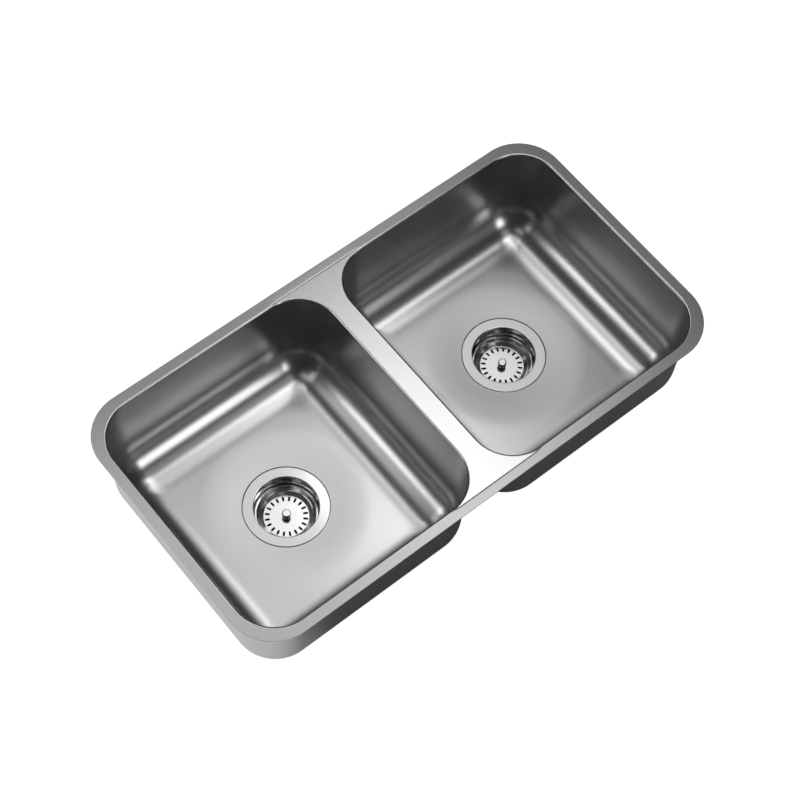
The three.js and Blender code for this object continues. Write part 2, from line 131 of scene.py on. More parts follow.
def piece_from(name, parts, node, body, material, merge=False):
    """Joins grids, each given as points and quads, into one closed piece that stands for a node.
    Edges that turn by more than the sharp angle are shaded sharp."""
    points, faces, offset = [], [], 0
    for part_points, part_faces in parts:
        part_points = part_points.reshape(-1, 3)
        if signed_volume(part_points, part_faces) < 0:
            part_faces = part_faces[:, ::-1]
        points.append(part_points)
        faces.append(part_faces + offset)
        offset += len(part_points)
    points, faces = np.concatenate(points), np.concatenate(faces)
    mesh = bpy.data.meshes.new(name)
    mesh.vertices.add(len(points))
    mesh.vertices.foreach_set("co", points.astype(np.float32).ravel())
    mesh.loops.add(faces.size)
    mesh.loops.foreach_set("vertex_index", faces.astype(np.int32).ravel())
    mesh.polygons.add(len(faces))
    mesh.polygons.foreach_set("loop_start", np.arange(0, faces.size, 4, dtype=np.int32))
    mesh.update(calc_edges=True)
    if merge:
        weld(mesh)
    mesh.polygons.foreach_set("use_smooth", np.ones(len(mesh.polygons), dtype=bool))
    mesh.set_sharp_from_angle(angle=SHARP)
    mesh.materials.append(material)
    piece = bpy.data.objects.new(name, mesh)
    bpy.context.scene.collection.objects.link(piece)
    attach(piece, body)
    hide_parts(node)
    return piece


def weld(mesh):
    """Merges points that lie on each other and drops faces that had no area."""
    work = bmesh.new()
    work.from_mesh(mesh)
    bmesh.ops.remove_doubles(work, verts=work.verts, dist=WELD)
    work.to_mesh(mesh)
    work.free()


ARC_REACH = 0.45  # most of the shorter side that a corner's arc takes
HOLD_RADIUS = 0.15  # shares of the arc's radius and of the side, for the point beyond the arc
HOLD_SIDE = 0.04
NEARLY_STRAIGHT = math.radians(89.5)  # half of an angle that gets no arc


def rounded(corners, steps=5):
    """A closed outline from (across, up, radius) corners, each turned into an arc of that radius.

    The arc touches both sides at a distance radius / tan(half the corner's angle) from the corner,
    or at the most of the shorter side that it may take. One more point a little way along each side
    keeps the shading of the arc off the flat.
    """
    corners = np.array(corners, float)
    places, radii = corners[:, :2], corners[:, 2]
    outline = []
    for i, place in enumerate(places):
        before = places[i - 1] - place
        after = places[(i + 1) % len(places)] - place
        reach_before, reach_after = np.linalg.norm(before), np.linalg.norm(after)
        before, after = before / reach_before, after / reach_after
        half = math.acos(np.clip(before @ after, -1, 1)) / 2
        if radii[i] <= 0 or half > NEARLY_STRAIGHT:
            outline.append(place[None])
            continue
        along = min(radii[i] / math.tan(half), ARC_REACH * min(reach_before, reach_after))
        radius = along * math.tan(half)
        bisector = (before + after) / np.linalg.norm(before + after)
        centre = place + bisector * radius / math.sin(half)
        start = place + before * along - centre
        end = place + after * along - centre
        turn = math.atan2(start[0] * end[1] - start[1] * end[0], start @ end)
        angle = math.atan2(start[1], start[0]) + turn * np.linspace(0, 1, steps + 1)
        arc = centre + radius * np.stack([np.cos(angle), np.sin(angle)], axis=1)
        held_before = place + before * (along + min(HOLD_RADIUS * radius, HOLD_SIDE * reach_before))
        held_after = place + after * (along + min(HOLD_RADIUS * radius, HOLD_SIDE * reach_after))
        outline.append(np.concatenate([held_before[None], arc, held_after[None]]))
    return np.concatenate(outline)


def full_turn(steps):
    """Equal angles round a circle, one to a row."""
    return np.linspace(0, 2 * np.pi, steps, endpoint=False)[:, None]


def carried(radius, height, angle):
    """Points at each radius and height, at each angle about the Z axis."""
    return np.stack([radius * np.cos(angle), radius * np.sin(angle), height + 0 * angle], axis=2)


def turned(outline, centre, steps=96, bands=()):
    """A closed outline of (radius, height) points carried round the Z axis through a centre.

    Each band (low, high, least radius, pitch, depth) of it carries a thread: radius less depth times
    half one minus the cosine of the turns counted up the axis, faded out over the band's ends.
    """
    angle = full_turn(steps)
    radius, height = outline[:, 0][None], outline[:, 1][None]
    for low, high, least_radius, pitch, depth in bands:
        inside = (height > low) & (height < high) & (outline[:, 0][None] > least_radius)
        fade = np.clip(np.minimum(height - low, high - height) / pitch, 0, 1)
        wave = 0.5 - 0.5 * np.cos(2 * np.pi * height / pitch - angle)
        radius = radius - np.where(inside, depth * fade * wave, 0)
    return carried(radius, height, angle) + np.asarray(centre), quads(steps, len(outline), True, True)


# ---- node groups shared by materials ----

def new_group(name, inputs, outputs):
    """A node group with its sockets, its entry and its exit."""
    group = bpy.data.node_groups.new(name, "ShaderNodeTree")
    for socket_name, kind, value in inputs:
        socket = group.interface.new_socket(socket_name, in_out="INPUT", socket_type=kind)
        if value is not None:
            socket.default_value = value
    for socket_name, kind in outputs:
        group.interface.new_socket(socket_name, in_out="OUTPUT", socket_type=kind)
    return group, group.nodes.new("NodeGroupInput"), group.nodes.new("NodeGroupOutput")


def add_node(tree, kind, **values):
    """Adds a node and sets its properties, or its inputs where the value's name is an input's."""
    made = tree.nodes.new(kind)
    for key, value in values.items():
        if key.startswith("in_"):
            made.inputs[key[3:].replace("_", " ")].default_value = value
        else:
            setattr(made, key, value)
    return made


def maths(tree, operation, first, second=None, clamp=False):
    """A Math node; each operand is a socket or a number."""
    made = tree.nodes.new("ShaderNodeMath")
    made.operation = operation
    made.use_clamp = clamp
    for slot, operand in enumerate((first, second)):
        if operand is None:
            continue
        if isinstance(operand, (int, float)):
            made.inputs[slot].default_value = operand
        else:
            tree.links.new(operand, made.inputs[slot])
    return made.outputs[0]


def grain_group():
    """Fine grain and slow clouds of polish. Both are noise on the given coordinates, and become
    streaks where a material squeezes these along one axis. Clouds are about as wide as a palm.

    Shade multiplies the colour, Rough is added to a roughness and Height goes to a bump.
    """
    inputs = [("Vector", "NodeSocketVector", None), ("Streaks", "NodeSocketFloat", 900.0),
              ("Cloud", "NodeSocketFloat", 9.0), ("Amount", "NodeSocketFloat", 0.05)]
    outputs = [("Shade", "NodeSocketFloat"), ("Rough", "NodeSocketFloat"), ("Height", "NodeSocketFloat")]
    group, entry, leave = new_group("satin_grain", inputs, outputs)
    link = group.links.new
    streaks = add_node(group, "ShaderNodeTexNoise", in_Detail=2.0)
    link(entry.outputs["Vector"], streaks.inputs["Vector"])
    link(entry.outputs["Streaks"], streaks.inputs["Scale"])
    clouds = add_node(group, "ShaderNodeTexNoise", in_Detail=3.0)
    link(entry.outputs["Vector"], clouds.inputs["Vector"])
    link(entry.outputs["Cloud"], clouds.inputs["Scale"])
    fine = maths(group, "SUBTRACT", streaks.outputs["Fac"], 0.5)
    slow = maths(group, "SUBTRACT", clouds.outputs["Fac"], 0.5)
    both = maths(group, "ADD", fine, slow)
    spread = maths(group, "MULTIPLY", both, entry.outputs["Amount"])
    link(maths(group, "ADD", spread, 1.0), leave.inputs["Shade"])
    link(maths(group, "MULTIPLY", spread, 0.6), leave.inputs["Rough"])
    link(streaks.outputs["Fac"], leave.inputs["Height"])
    return group


GRAIN = grain_group()


def principled(name, colour, roughness, metallic):
    """A material with its Principled shader, and the tree to add to."""
    material = bpy.data.materials.new(name)
    material.use_nodes = True
    tree = material.node_tree
    shader = tree.nodes["Principled BSDF"]
    shader.inputs["Base Color"].default_value = (*colour, 1)
    shader.inputs["Roughness"].default_value = roughness
    shader.inputs["Metallic"].default_value = metallic
    return material, tree, shader


WALL_LEVEL = 0.97  # the normal's upright share below which the sheet begins to be rougher
WALL_GAIN = 1.1
STEEL_STREAKS = 900.0


def grained(name, colour, roughness, metallic, amount, streaks, bump, bump_height, stretch=(1, 1, 1),
            wall_roughness=None):
    """A material whose colour, roughness and normal are shaded by the grain. Where drawing has
    stretched a sheet into steep walls it may be rougher."""
    material, tree, shader = principled(name, colour, roughness, metallic)
    place = add_node(tree, "ShaderNodeTexCoord")
    squeeze = add_node(tree, "ShaderNodeMapping")
    squeeze.inputs["Scale"].default_value = stretch
    tree.links.new(place.outputs["Object"], squeeze.inputs["Vector"])
    grain = add_node(tree, "ShaderNodeGroup", node_tree=GRAIN)
    grain.inputs["Streaks"].default_value = streaks
    grain.inputs["Amount"].default_value = amount
    tree.links.new(squeeze.outputs["Vector"], grain.inputs["Vector"])
    tint = add_node(tree, "ShaderNodeMix", data_type="RGBA", blend_type="MULTIPLY")
    tint.inputs["Factor"].default_value = 1.0
    tint.inputs[6].default_value = (*colour, 1)
    tree.links.new(grain.outputs["Shade"], tint.inputs[7])
    tree.links.new(tint.outputs[2], shader.inputs["Base Color"])
    rough = maths(tree, "ADD", grain.outputs["Rough"], roughness)
    if wall_roughness:
        parts = add_node(tree, "ShaderNodeSeparateXYZ")
        tree.links.new(place.outputs["Normal"], parts.inputs[0])
        steep = maths(tree, "SUBTRACT", WALL_LEVEL, parts.outputs["Z"])
        steep = maths(tree, "MULTIPLY", steep, WALL_GAIN, clamp=True)
        rough = maths(tree, "ADD", rough, maths(tree, "MULTIPLY", steep, wall_roughness - roughness))
    tree.links.new(rough, shader.inputs["Roughness"])
    raise_grain = add_node(tree, "ShaderNodeBump", in_Strength=bump, in_Distance=bump_height)
    tree.links.new(grain.outputs["Height"], raise_grain.inputs["Height"])
    tree.links.new(raise_grain.outputs["Normal"], shader.inputs["Normal"])
    return material


def satin_steel(name, colour, roughness, amount, bump, **finish):
    """Stainless steel with a satin grain."""
    return grained(name, colour, roughness, 1.0, amount, STEEL_STREAKS, bump, 0.2 * MM, **finish)


def dull(name, colour, roughness, streaks, amount, bump):
    """Rubber, nylon or card: mottled colour and a fine uneven surface."""
    return grained(name, colour, roughness, 0.0, amount, streaks, bump, 0.3 * MM)


BRIGHT = (0.85, 0.853, 0.857)
bowl_steel = satin_steel("bowl_satin_steel", (0.54, 0.543, 0.547), 0.24, 0.02, 0.0005, wall_roughness=0.32)
# Painted shade: the bowls' outside gets a darker steel than the inside, for its dark walls.
outside_shaded_steel = satin_steel("bowl_outside_painted_shade", (0.3, 0.302, 0.305), 0.36, 0.12, 0.02)
# The rim's darker and the divider's lighter base colour than the bowl steel are painted shade and painted
# light; their brushed streaks are real.
rim_shaded_steel = satin_steel("rim_brushed_steel_painted_shade", (0.45, 0.453, 0.457), 0.3, 0.05, 0.004, stretch=(0.03, 1, 1))
divider_lit_steel = satin_steel("divider_brushed_steel_painted_light", (0.72, 0.723, 0.727), 0.28, 0.04, 0.003,
                            stretch=(1, 0.03, 1))
strainer_steel = satin_steel("strainer_polished_steel", (0.66, 0.663, 0.667), 0.12, 0.03, 0.002)
basket_steel = satin_steel("basket_bright_steel", BRIGHT, 0.16, 0.03, 0.002)
black_rubber = dull("black_rubber", (0.022, 0.022, 0.023), 0.75, 1500.0, 0.5, 0.3)
fibre_card = dull("pressed_fibre_card", (0.36, 0.24, 0.12), 0.85, 1200.0, 0.5, 0.4)
grey_nylon = dull("moulded_nylon", (0.05, 0.05, 0.053), 0.5, 700.0, 0.2, 0.1)
pad_rubber = dull("sound_pad_rubber", (0.035, 0.035, 0.037), 0.9, 600.0, 0.6, 0.6)
knob_shaded_steel = satin_steel("knob_steel_painted_flank_shade", BRIGHT, 0.16, 0.03, 0.002)

FLANK_LEVEL = 0.55  # the normal's upright share below which a face gets all the painted flank shade
FLANK_GAIN = 4.0


def paint_flank_shade(material, painted_shade_colour):
    """Paints shade on a turned piece's steep flanks, darker by how upright the face is."""
    tree = material.node_tree
    shader = tree.nodes["Principled BSDF"]
    grained_colour = shader.inputs["Base Color"].links[0].from_socket
    place = add_node(tree, "ShaderNodeTexCoord")
    parts = add_node(tree, "ShaderNodeSeparateXYZ")
    tree.links.new(place.outputs["Normal"], parts.inputs[0])
    level = maths(tree, "SUBTRACT", parts.outputs["Z"], FLANK_LEVEL)
    level = maths(tree, "MULTIPLY", level, FLANK_GAIN, clamp=True)
    mix = add_node(tree, "ShaderNodeMix", data_type="RGBA")
    tree.links.new(level, mix.inputs["Factor"])
    mix.inputs[6].default_value = (*painted_shade_colour, 1)
    tree.links.new(grained_colour, mix.inputs[7])
    tree.links.new(mix.outputs[2], shader.inputs["Base Color"])


# Painted shade: the knob's flanks are darkened to stand for the dark reflection they show.
paint_flank_shade(knob_shaded_steel, (0.06, 0.06, 0.061))


# ---- outlines in plan ----

CORNER_POINTS = 24
SIDE_POINTS = 18


def rounded_rectangle(half_x, half_y, radius, side_points=SIDE_POINTS):
    """Four quarter circles and the straight sides between them, anticlockwise from +X +Y."""
    outline = []
    quarter = np.linspace(0, np.pi / 2, CORNER_POINTS + 1)
    for corner, (x, y) in enumerate(((1, 1), (-1, 1), (-1, -1), (1, -1))):
        angle = corner * np.pi / 2 + quarter
        centre = np.array([x * (half_x - radius), y * (half_y - radius)])
        outline.append(centre + radius * np.stack([np.cos(angle), np.sin(angle)], axis=1))
    pieces = []
    for corner in range(4):
        start, end = outline[corner][-1], outline[(corner + 1) % 4][0]
        share = (np.arange(side_points) + 1)[:, None] / (side_points + 1)
        pieces += [outline[corner], start + (end - start) * share]
    return np.concatenate(pieces)


def matching_circle(radius, centre_y):
    """A circle with a point for each point of the rounded rectangle, 60 degrees for each corner."""
    corner = np.linspace(math.radians(15), math.radians(75), CORNER_POINTS + 1)
    side = np.linspace(math.radians(75), math.radians(105), SIDE_POINTS + 2)[1:-1]
    angle = np.concatenate([np.concatenate([corner, side]) + k * np.pi / 2 for k in range(4)])
    return np.stack([radius * np.cos(angle), centre_y + radius * np.sin(angle)], axis=1)


BLOCK = CORNER_POINTS + 1 + SIDE_POINTS  # points of one corner and the side after it


def divider_share():
    """How far each outline point of the right bowl has come down to the divider, 0 or 1 but for ramps."""
    index = np.arange(4 * BLOCK)
    ramp = CORNER_POINTS / 8
    down = np.clip((index - BLOCK) / ramp, 0, 1)
    up = np.clip((2 * BLOCK + CORNER_POINTS - index) / ramp, 0, 1)
    return np.minimum(down, up)


# ---- bowls ----

LIP_RINGS = 9
WALL_RINGS = 12
COVE_STEPS = 160
COVE_STEPS_A_RING = 5
FLOOR_RINGS = 55
FLOOR_CROWDING = 1.5  # above 1, the floor's rings lie closer towards the drain
RECESS_RINGS = 6


def bowl_outline(inset):
    """The outline drawn in by the inset. Its corner radius shrinks with the inset. Below the lip it
    eases into a least radius: half the sum of both and of the hypotenuse over their difference and
    the ease."""
    radius = LIP_CORNER - inset
    if inset > LIP_BEND:
        radius = (radius + LEAST_CORNER + math.hypot(radius - LEAST_CORNER, CORNER_EASE)) / 2
    return rounded_rectangle(bowl_half_length - inset, bowl_half_width - inset, radius)


def bowl_section(offset):
    """Insets and heights of one skin from the lip down the wall and round the cove to the floor.

    Along the cove the slope is the wall's times the power of the way from the floor, so that it is
    tightest by the wall. It is summed up by steps and scaled to the cove's height. The hidden skin
    lies off the visible one by the sheet's thickness, square to it.
    """
    steep = np.pi / 2 - WALL_LEAN
    lip_angle = np.linspace(0, steep, LIP_RINGS)
    lip = np.stack([LIP_BEND * np.sin(lip_angle), LIP_BEND * (np.cos(lip_angle) - 1)], axis=1)
    slope = steep * np.linspace(0, 1, COVE_STEPS + 1) ** COVE_POWER
    middle_slope = (slope[1:] + slope[:-1]) / 2
    run = -np.concatenate([[0], np.cumsum(np.cos(middle_slope))])
    rise = np.concatenate([[0], np.cumsum(np.sin(middle_slope))])
    scale = COVE_HEIGHT / rise[-1]
    foot_drop = lip[-1, 1] + FLOOR_EDGE - COVE_HEIGHT
    foot_inset = lip[-1, 0] + foot_drop * math.tan(WALL_LEAN)
    kept = slice(None, None, -COVE_STEPS_A_RING)
    bottom = np.stack([foot_inset + (run - run[-1]) * scale, rise * scale - FLOOR_EDGE], axis=1)[kept]
    share = np.linspace(0, 1, WALL_RINGS + 2)[1:-1, None]
    wall = lip[-1] + (bottom[0] - lip[-1]) * share
    away = [lip_angle, np.full(len(wall), steep), slope[kept]]
    return [skin - offset * np.stack([np.sin(turn), np.cos(turn)], axis=1)
            for skin, turn in zip((lip, wall, bottom), away)]


DIP_WIDTH = 24 * MM  # round the drain's recess
DIP_SHARE = 0.2  # part of the fall that the dip makes


def smooth(share):
    """Eases a share in and out between 0 and 1."""
    return share * share * (3 - 2 * share)


def floor_depth(plan, drain_y, fall):
    """Depth of the floor below its edge. A smooth step runs from the circle round the drain that
    touches the nearest edge in to the recess, and a dip falls off with the square of the distance
    left across its width."""
    start = RECESS_RADIUS + RECESS_SLOPE
    reach = bowl_half_width - bowl_section(0)[2][-1][0] - abs(drain_y)
    radius = np.hypot(plan[:, 0], plan[:, 1] - drain_y)
    share = np.clip((reach - radius) / (reach - start), 0, 1)
    dip = np.clip(1 - (radius - start) / DIP_WIDTH, 0, 1)
    return fall * ((1 - DIP_SHARE) * smooth(share) + DIP_SHARE * dip * dip)


def bowl_skin(offset, drain_y, fall):
    """Rings of one skin: lip, wall and cove as one section with the outline drawn in by its inset,
    then the floor between the last outline and the recess's circle, then the recess."""
    lip, wall, bottom = bowl_section(offset)
    rings = []
    for number, (inset, height) in enumerate(np.concatenate([lip, wall, bottom])):
        outline = bowl_outline(inset)
        drop = DIVIDER_DROP * divider_share() * np.clip(1 - (number - len(lip) + 1) / len(wall), 0, 1)
        rings.append(np.column_stack([outline, height - drop]))
    edge_inset, edge_height = bottom[-1]
    edge = bowl_outline(edge_inset)
    rim = matching_circle(RECESS_RADIUS + RECESS_SLOPE, drain_y)
    for share in (1 - np.linspace(1, 0, FLOOR_RINGS + 1) ** FLOOR_CROWDING)[1:]:
        plan = edge + (rim - edge) * share
        rings.append(np.column_stack([plan, edge_height - floor_depth(plan, drain_y, fall)]))
    rim_height = edge_height - fall
    for share in np.linspace(0, 1, RECESS_RINGS + 1)[1:]:
        circle = matching_circle(RECESS_RADIUS + RECESS_SLOPE * (1 - share), drain_y)
        height = rim_height - RECESS_STEP * smooth(share)
        rings.append(np.column_stack([circle, np.full(len(circle), height)]))
    hole = matching_circle(HOLE_RADIUS, drain_y)
    rings.append(np.column_stack([hole, np.full(len(hole), rim_height - RECESS_STEP)]))
    return np.array(rings)


def floor_fall(side):
    """How far the floor falls from its edge to the top of the strainer's flange."""
    return -middle(f"{side}_strainer_body")[2] - FLOOR_EDGE


def make_bowl(side):
    """Visible skin out to in, then the hidden one back, closed into one sheet. The hidden skin gets a darker
    steel as painted shade."""
    centre = middle(f"{side}_bowl")
    drain = middle(f"{side}_strainer_body")
    inner = bowl_skin(0, drain[1], floor_fall(side))
    outer = bowl_skin(BOWL_SHEET, drain[1], floor_fall(side))
    rings = np.concatenate([inner, outer[::-1]])
    rings[:, :, 0] *= SIDES[side]
    rings[:, :, 0] += centre[0]
    faces = quads(len(rings), rings.shape[1], True, True)
    piece = piece_from(f"{side}_bowl_sheet", [(rings, faces)], f"{side}_bowl", "sink", bowl_steel)
    piece.data.materials.append(outside_shaded_steel)
    # Faces of the hidden skin, which get the darker steel of painted shade.
    outside_shade_faces = np.repeat(np.arange(len(rings)) >= len(inner), rings.shape[1])
    piece.data.polygons.foreach_set("material_index", outside_shade_faces.astype(np.int32))
    return piece


PAD_CORNER = 5 * MM
PAD_GAP = 0.2 * MM
PAD_THICKNESS = 2.5 * MM
PAD_EDGE = 0.8 * MM
PAD_RIM = 0.98  # share of the way out, for a ring that keeps the flat apart from the edge


def make_pad(side, place):
    """A sheet of rubber under the floor: a rounded rectangle on a grid whose top follows the floor's
    underside, with its edge rounded off below."""
    low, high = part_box(f"{side}_{place}_sound_pad")
    centre = middle(f"{side}_bowl")
    drain = middle(f"{side}_strainer_body")
    half_x, half_y = (high.x - low.x) / 2, (high.y - low.y) / 2
    plan_middle = np.array([(low.x + high.x) / 2, (low.y + high.y) / 2])
    under = -FLOOR_EDGE - BOWL_SHEET - PAD_GAP
    outline = rounded_rectangle(half_x, half_y, PAD_CORNER)
    loops = [(share, 0.0, 0.0) for share in np.linspace(0, PAD_RIM, 13)]
    loops += [(1.0, 0.0, 0.0)]
    for turn in np.linspace(0, np.pi / 2, 5):
        drop = PAD_THICKNESS - PAD_EDGE + PAD_EDGE * math.sin(turn)
        loops.append((1.0, PAD_EDGE * (1 - math.cos(turn)), drop))
    loops += [(share, 0.0, PAD_THICKNESS) for share in np.linspace(PAD_RIM, 0, 13)]
    rings = []
    for share, inset, drop in loops:
        shrink = share * np.array([1 - inset / half_x, 1 - inset / half_y])
        plan = outline * shrink + plan_middle
        local = plan - np.array([centre[0], 0])
        depth = floor_depth(local, drain[1], floor_fall(side))
        rings.append(np.column_stack([plan, under - depth - drop]))
    rings = np.array(rings)
    faces = quads(len(rings), rings.shape[1], False, True)
    return piece_from(f"{side}_{place}_floor_pad", [(rings, faces)], f"{side}_{place}_sound_pad", "sink",
                      pad_rubber, merge=True)


# ---- rim and divider ----

RIM_SIDE_POINTS = 120
RIM_ROLL = 2.4 * MM  # width of its rolled inner edge above the divider's ends
RIM_ROLL_DROP = 1.0 * MM
ROLL_FADE = 0.15  # share of the divider's half length over which the roll fades out


def make_rim():
    """A flat frame whose section runs over the top from its rounded cut edge to the opening. Above
    the divider's ends its inner edge rolls down by a quarter ellipse, which fades out at the bowls."""
    outer = rounded_rectangle(rim_high.x, rim_high.y, RIM_CORNER, RIM_SIDE_POINTS)
    inner = rounded_rectangle(rim_high.x - RIM_FLAT, rim_high.y - RIM_FLAT, LIP_CORNER, RIM_SIDE_POINTS)
    thickness = rim_high.z - rim_low.z
    cut_edge = rounded([(0, 0, RIM_EDGE), (0, -thickness, RIM_EDGE), (1, -thickness, 0), (1, 0, 0)], 4)[:-2]
    width = np.linalg.norm(inner - outer, axis=1)[:, None]
    inward = ((inner - outer) / width)[:, None, :]
    roll = np.linspace(0, np.pi / 2, 9)
    span = divider_high.x
    share = np.clip((span - np.abs(inner[:, 0])) / (ROLL_FADE * span), 0, 1)[:, None]
    share = np.where(np.abs(inner[:, 1:]) > rim_high.y - RIM_FLAT - MM / 1000, share, 0)
    rolled_drop = -RIM_ROLL_DROP * (1 - np.cos(roll))[None] * share
    across = np.concatenate([np.broadcast_to(cut_edge[:, 0], (len(outer), len(cut_edge))), width,
                             (width - RIM_ROLL * (1 - np.sin(roll))[None])[:, ::-1]], axis=1)
    height = np.concatenate([np.broadcast_to(cut_edge[:, 1], (len(outer), len(cut_edge))),
                             np.full((len(outer), 1), -thickness), rolled_drop[:, ::-1]], axis=1)
    points = outer[:, None, :] + inward * across[:, :, None]
    grid = np.concatenate([points, height[:, :, None]], axis=2)
    faces = quads(len(outer), grid.shape[1], True, True)
    return piece_from("rim_frame", [(grid, faces)], "rim_flange", "sink", rim_shaded_steel)


def divider_half_width(y):
    """Straight between the bowls, then round each bowl's corner, and straight on below the rim."""
    straight = rim_high.y - RIM_FLAT - LIP_CORNER
    into_corner = np.clip(np.abs(y) - straight, 0, LIP_CORNER)
    return divider_high.x - np.sqrt(LIP_CORNER ** 2 - into_corner ** 2)


DIVIDER_ACROSS = 17  # points across each face


def make_divider():
    """A plate whose half width follows the bowls' lips from end to end."""
    straight = rim_high.y - RIM_FLAT - LIP_CORNER
    turn = np.linspace(0, np.pi / 2, 33)
    corner = straight + LIP_CORNER * np.sin(turn)
    end = np.linspace(rim_high.y - RIM_FLAT, divider_high.y, 3)[1:]
    half_run = np.concatenate([np.linspace(0, straight, 24)[:-1], corner, end])
    y = np.concatenate([-half_run[::-1], half_run[1:]])
    width = divider_half_width(y)
    top, bottom = divider_high.z, divider_low.z
    across = np.linspace(-1, 1, DIVIDER_ACROSS)
    loop_x = np.concatenate([across, across[::-1]])
    loop_z = np.repeat([top, bottom], DIVIDER_ACROSS)
    grid = np.stack([width[:, None] * loop_x, y[:, None] + 0 * loop_x,
                     loop_z + 0 * width[:, None]], axis=2)
    faces = quads(len(y), len(loop_x), False, True)
    cap = strip_cap(len(loop_x))
    last = (len(y) - 1) * len(loop_x)
    faces = np.concatenate([faces, cap, cap[:, ::-1] + last])
    return piece_from("divider_saddle", [(grid, faces)], "divider_plate", "sink", divider_lit_steel)


# ---- strainer: radii, and depths below the top of its flange, in millimetres ----

FLANGE = 56.0
THROAT = 42.0
THREAD = 43.5
SHEET = 1.2
SHOULDER_TOP = 21.5
SHOULDER_BOTTOM = 24.3
CUP = 39.3
CUP_DEPTH = 46.0
TAIL = 21.0
TAIL_OUTER = 23.9
TAIL_LENGTH = 25.0
GUIDE_TOP = 51.5
GUIDE_HEIGHT = 5.0
GUIDE_BORE = 4.2
GUIDE_HUB = 7.0
GUIDE_BAR = 2.4  # width of the bars that hold the hub
SCREW_PITCH, SCREW_DEPTH = 1.8, 0.7  # of the locknut's thread on the throat
TAIL_PITCH, TAIL_DEPTH = 2.3, 0.9
SEAL = 1.0
GASKET = 3.0
CARD = 1.0
CLAMP = 55.0  # edge of the seals that clamp the flange
CLAMP_BORE = HOLE_RADIUS / MM

DISH_RIM = 40.7
DISH_RIM_WIDTH = 2.2
DISH_RIM_DEPTH = 20.5
DISH_RIM_UNDER = 22.4
DISH_STEP = 35.0
DISH_STEP_DEPTH = 25.3
DISH_FLAT = 29.2
DISH_DEPTH = 29.8
DISH_SHEET = 0.8
DISH_BORE = 2.8
DISH_HUB = 20.4  # of its middle disc, which the slotted ring is welded to
SLOT_INNER = 21.6
SLOT_OUTER = 28.4
SLOT_HALF = 1.4

KNOB = 5.7
KNOB_CAP = 5.5
KNOB_HEIGHT = 10.6
KNOB_NECK = 3.8
KNOB_COLLAR = 4.6
KNOB_COLLAR_HEIGHT = 1.6

SPINDLE = 3.0
SPINDLE_STEM = 2.4  # where it screws into the knob
SPINDLE_COLLAR = 5.0  # between the dish and the stopper
SPINDLE_BORE = 3.4
SPINDLE_THREAD = 6.0  # length in the knob
SPINDLE_TIP = 55.0
STOPPER = 27.0
STOPPER_TOP = 42.1
STOPPER_BOTTOM = 45.7
WASHER = 17.0


def stretch_points(low, high, count, radius):
    """Plain points up a straight stretch, so that a thread has something to shape."""
    return [(radius, z, 0) for z in np.linspace(low, high, count)]


def plan_turn(angle):
    """What rows of points are multiplied by to turn about the Z axis."""
    return np.array([[math.cos(angle), math.sin(angle), 0],
                     [-math.sin(angle), math.cos(angle), 0], [0, 0, 1]])


def bar(centre, angle, start, end, width, height, edge):
    """A bar with rounded long edges, from start to end along a direction in plan."""
    section = rounded([(-width / 2, 0, edge), (width / 2, 0, edge),
                       (width / 2, -height, edge), (-width / 2, -height, edge)], 3)
    run = np.array([start, end])[:, None]
    points = np.stack([run + 0 * section[:, 0], 0 * run + section[:, 0], 0 * run + section[:, 1]], axis=2)
    count = len(section)
    cap = strip_cap(count)
    faces = np.concatenate([quads(2, count, False, True), cap, cap[:, ::-1] + count])
    return points @ plan_turn(angle) + np.asarray(centre), faces


def make_strainer(side):
    """Flange, throat, shoulder, cup, seat and threaded tail in one turned sheet, and the spindle's
    guide of a hub and four bars across the outlet."""
    centre = middle(f"{side}_strainer_body")
    throat_foot, cup_head = (THROAT, -SHOULDER_TOP, 0.8), (CUP, -SHOULDER_BOTTOM, 0.8)
    tail_top, tail_end = -CUP_DEPTH - SHEET, -CUP_DEPTH - TAIL_LENGTH
    outline = rounded([
        (FLANGE, -SHEET, 0.2), (FLANGE, 0, 0.6), (THROAT, 0, 1.2), throat_foot, cup_head,
        (CUP, -CUP_DEPTH, 3.5), (TAIL + 0.6, -CUP_DEPTH, 1.5), (TAIL, tail_end, 0.5),
        (TAIL_OUTER, tail_end, 0.6), *stretch_points(tail_end + 1, tail_top - 4, 77, TAIL_OUTER),
        (TAIL_OUTER, tail_top, 1.0), (CUP + SHEET, tail_top, 4.0), (CUP + SHEET, -SHOULDER_BOTTOM, 0.6),
        (THREAD, -SHOULDER_TOP - 0.5, 0.5), *stretch_points(-SHOULDER_TOP, -1.6, 79, THREAD),
        (THREAD, -SHEET, 0)], 6) * MM
    screw = (-SHOULDER_TOP - 0.2, -3.5, THREAD - SCREW_DEPTH, SCREW_PITCH, SCREW_DEPTH)
    tail_screw = (tail_end + 0.5, tail_top - 3.5, TAIL + 1.5, TAIL_PITCH, TAIL_DEPTH)
    body = turned(outline, centre, 128, np.array([screw, tail_screw]) * MM)
    guide_end = -GUIDE_TOP - GUIDE_HEIGHT
    hub = turned(rounded([(GUIDE_BORE, -GUIDE_TOP, 0.4), (GUIDE_BORE, guide_end, 0.4),
                          (GUIDE_HUB, guide_end, 0.5), (GUIDE_HUB, -GUIDE_TOP, 0.5)], 4) * MM, centre, 48)
    guide_top = centre + np.array([0, 0, -GUIDE_TOP * MM])
    bars = [bar(guide_top, k * np.pi / 2, (GUIDE_HUB - 0.6) * MM, (TAIL + 1) * MM, GUIDE_BAR * MM,
                GUIDE_HEIGHT * MM, 0.4 * MM) for k in range(4)]
    return piece_from(f"{side}_strainer_cup", [body, hub, *bars], f"{side}_strainer_body", "sink",
                      strainer_steel)


def polar(radius, angle):
    """Places in plan at a radius and an angle."""
    return np.stack([radius * np.cos(angle), radius * np.sin(angle)], axis=-1)


